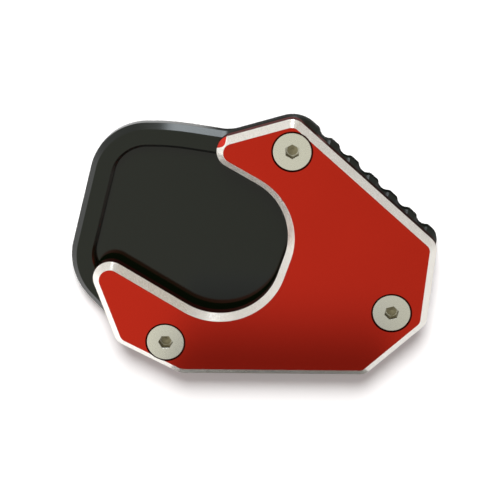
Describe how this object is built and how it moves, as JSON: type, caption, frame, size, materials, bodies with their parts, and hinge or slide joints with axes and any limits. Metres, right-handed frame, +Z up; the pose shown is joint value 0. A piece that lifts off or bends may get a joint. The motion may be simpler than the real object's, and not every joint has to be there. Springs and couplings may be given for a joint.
{
  "type": "kickstand foot enlarger",
  "caption": "Wide foot for a motorbike side stand: a lower plate with a pocket for the stand's foot, clamped under an upper plate with a horseshoe-shaped gap by countersunk screws.",
  "frame": {"origin": "middle of the bounding box, on the ground under the lower plate", "axes": "+X along the longest side, with the gap's open end towards -X; +Y towards the notched long edge; +Z up from the ground"},
  "size_m": [0.1176, 0.0852, 0.012],
  "materials": {
    "black_anodised": "satin black anodised",
    "red_anodised": "satin red anodised, with a bright-cut chamfer",
    "stainless": "satin"
  },
  "bodies": {
    "root": {"base_plate": "black_anodised", "top_plate": "red_anodised", "clamp_screws": "stainless"}
  },
  "joints": []
}
